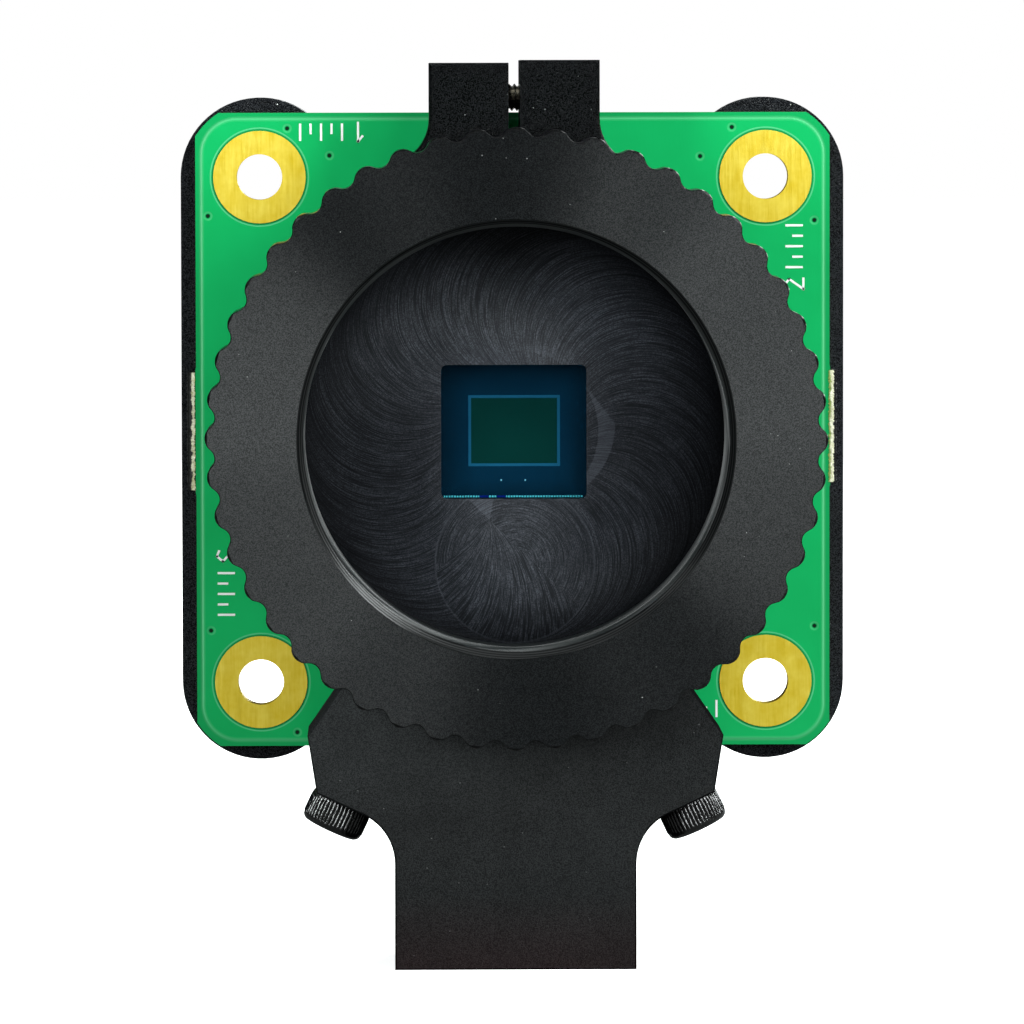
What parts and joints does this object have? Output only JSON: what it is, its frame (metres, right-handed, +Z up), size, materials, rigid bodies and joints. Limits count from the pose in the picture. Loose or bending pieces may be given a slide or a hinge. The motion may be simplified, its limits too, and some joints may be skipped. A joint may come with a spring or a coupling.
{
  "type": "camera module",
  "caption": "Bare-board camera module: image sensor under a threaded lens mount with a knurled focus ring, split clamp housing, rear cover and tripod foot.",
  "frame": {"origin": "centre of the tripod thread's mouth, in the flat underside of the foot", "axes": "+Z up; -Y is the way the lens axis leaves the focus ring, towards the scene; X to the right as seen from the lens side"},
  "size_m": [0.0394, 0.0198, 0.0532],
  "materials": {
    "solder_mask": "green solder mask, satin gloss, raised edge of the copper below",
    "gold_plating": "bright gold plating with fine brushing",
    "package_ceramic": "dark, matt",
    "sensor_silicon": "dark green active area with a blue border",
    "cover_glass": "clear",
    "gasket_rubber": "soft, matt black",
    "filter_glass": "coated, faint blue-green",
    "black_anodised_metal": "turned and milled, then black anodised, satin",
    "black_coated_metal": "black, even and satin",
    "nickel_plated_steel": "plated, bright",
    "black_oxide_steel": "black oxide, glossy",
    "moulded_black_plastic": "fine moulded grain",
    "connector_plastic": "moulded, off-white",
    "contact_metal": "plated, bright",
    "latch_plastic": "moulded, dark brown",
    "oscillator_can": "metal lid, satin",
    "chip_plastic": "moulded, matt",
    "capacitor_ceramic": "brown, fired",
    "resistor_ceramic": "black, smooth"
  },
  "bodies": {
    "camera": {"circuit_board": "solder_mask", "mounting_hole_plating": "gold_plating", "sensor_package": "package_ceramic", "sensor_die": "sensor_silicon", "sensor_cover_glass": "cover_glass", "sensor_gasket": "gasket_rubber", "infrared_filter": "filter_glass", "main_housing": "black_anodised_metal", "tripod_mount": "black_coated_metal", "focus_lock_screw": "nickel_plated_steel", "tripod_mount_screws": "black_oxide_steel", "housing_screws": "black_oxide_steel", "housing_screw_washers": "nickel_plated_steel", "rear_cover": "moulded_black_plastic", "ribbon_connector": "connector_plastic", "connector_contacts": "contact_metal", "clock_oscillator": "oscillator_can", "voltage_regulators": "chip_plastic", "capacitors": "capacitor_ceramic", "resistors": "resistor_ceramic"},
    "ring": {"focus_ring": "black_anodised_metal"},
    "latch": {"connector_latch": "latch_plastic"}
  },
  "joints": [
    {"name": "focus_turn", "type": "hinge", "parent": "camera", "child": "ring", "pos_m": [0, 0, 0.03137], "axis": [0, -1, 0], "range_deg": [-360, 360]},
    {"name": "latch_slide", "type": "slide", "parent": "camera", "child": "latch", "axis": [0, 0, -1], "range_m": [0, 0.001]}
  ]
}
